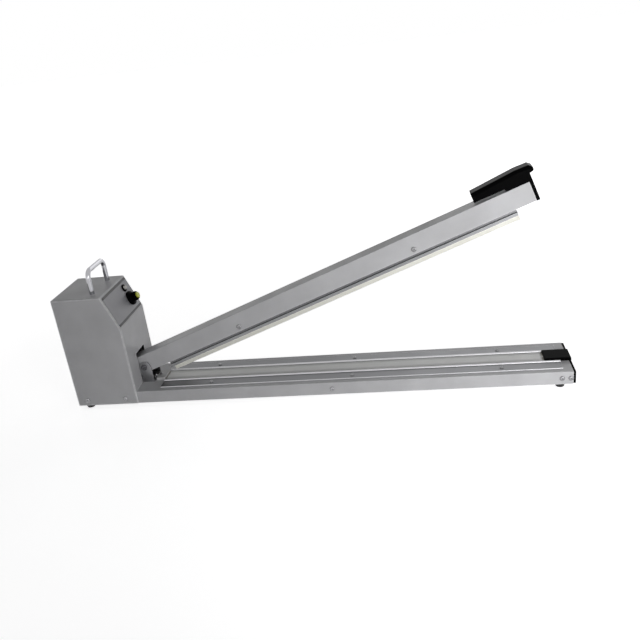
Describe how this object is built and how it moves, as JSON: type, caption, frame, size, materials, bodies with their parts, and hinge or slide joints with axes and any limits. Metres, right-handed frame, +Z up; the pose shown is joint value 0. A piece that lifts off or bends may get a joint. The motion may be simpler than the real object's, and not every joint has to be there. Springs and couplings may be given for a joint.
{
  "type": "impulse heat sealer",
  "caption": "Hand-operated impulse heat sealer: a long pressing arm hinged at a timer box closes a silicone strip on a heated bed, with a black grip and a chrome carry handle.",
  "frame": {"origin": "middle of the object's box in plan, at the level of the feet's soles", "axes": "X along the bed from the timer box to the grip, Y across towards the back, Z up"},
  "size_m": [0.8026, 0.1088, 0.3345],
  "materials": {
    "grey_paint": "satin silver-grey paint",
    "black_plastic": "glossy moulded black",
    "black_rubber": "matt rubber",
    "zinc_steel": "zinc plated",
    "bare_aluminium": "extruded, anodised",
    "brown_board": "pale laminated insulating board",
    "band_steel": "bare resistance band",
    "release_fabric": "coated glass cloth",
    "grey_plastic": "moulded light grey",
    "brass_bush": "turned",
    "white_silicone": "smooth silicone",
    "panel_film": "plain panel film",
    "lamp_glass": "clear lens",
    "yellow_plastic": "moulded yellow-green",
    "circuit_green": "circuit board",
    "handle_chrome": "bright chrome plate",
    "core_iron": "lacquered laminations",
    "coil_wrap": "insulating wrap",
    "spring_steel": "drawn wire",
    "dark_steel": "dulled plating"
  },
  "bodies": {
    "base": {"base_channel": "grey_paint", "cross_brace": "zinc_steel", "base_end_cap": "black_plastic", "foot_hinge_front": "black_rubber", "foot_hinge_back": "black_rubber", "foot_grip_front": "black_rubber", "foot_grip_back": "black_rubber", "end_cap_screws": "zinc_steel", "housing_screws": "zinc_steel", "brace_screws": "dark_steel", "foot_screws": "zinc_steel", "bed_plate": "bare_aluminium", "insulation_board": "brown_board", "heating_band": "band_steel", "release_cloth": "release_fabric", "band_terminal": "grey_plastic", "terminal_screw": "zinc_steel", "hinge_bracket": "zinc_steel", "hinge_screws": "zinc_steel", "pivot_bolt": "dark_steel", "pivot_nut": "zinc_steel", "housing_cover": "grey_paint", "control_panel": "panel_film", "lamp_bezel": "black_plastic", "lamp_lens": "lamp_glass", "potentiometer": "zinc_steel", "timer_nut": "zinc_steel", "timer_board": "circuit_green", "carry_handle": "handle_chrome", "handle_screws": "zinc_steel", "transformer_core": "core_iron", "transformer_coil": "coil_wrap", "transformer_strap": "zinc_steel", "strap_screws": "zinc_steel", "switch_bracket": "zinc_steel", "switch_body": "black_plastic", "bracket_screw": "zinc_steel", "cable_gland": "black_rubber", "spring_anchor_pin": "zinc_steel", "return_spring": "spring_steel", "bed_screws": "dark_steel"},
    "arm": {"arm_channel": "grey_paint", "pivot_bush": "brass_bush", "tail_pin": "zinc_steel", "float_screws": "dark_steel", "float_nuts": "zinc_steel", "arm_grip": "black_plastic", "grip_screws": "zinc_steel", "float_spring_near": "spring_steel", "float_spring_far": "spring_steel"},
    "floating_bar": {"pressure_bar": "bare_aluminium", "silicone_strip": "white_silicone"},
    "knob": {"timer_knob": "black_plastic", "knob_cap": "yellow_plastic", "timer_shaft": "zinc_steel"},
    "plunger": {"switch_plunger": "grey_plastic"}
  },
  "joints": [
    {"name": "arm_hinge", "type": "hinge", "parent": "base", "child": "arm", "pos_m": [-0.28555, 0, 0.0542], "axis": [0, 1, 0], "range_deg": [0, 20.8], "stiffness_Nm_per_rad": 4, "springref_deg": -51.57, "deforming": ["return_spring"]},
    {"name": "bar_float", "type": "slide", "parent": "arm", "child": "floating_bar", "axis": [-0.3551, 0, 0.9348], "range_m": [0, 0.004], "deforming": ["float_spring_near", "float_spring_far"]},
    {"name": "timer_turn", "type": "hinge", "parent": "base", "child": "knob", "pos_m": [-0.30248, 0.027, 0.16203], "axis": [0.9296, 0, 0.3685], "range_deg": [-140, 140]},
    {"name": "plunger_press", "type": "slide", "parent": "base", "child": "plunger", "axis": [0, 0, 1], "range_m": [0, 0.0015]}
  ],
  "couplings": [
    {"joint": "bar_float", "follows": "arm_hinge", "m_per_rad": 0.011017},
    {"joint": "plunger_press", "follows": "arm_hinge", "m_per_rad": 0.004131}
  ]
}
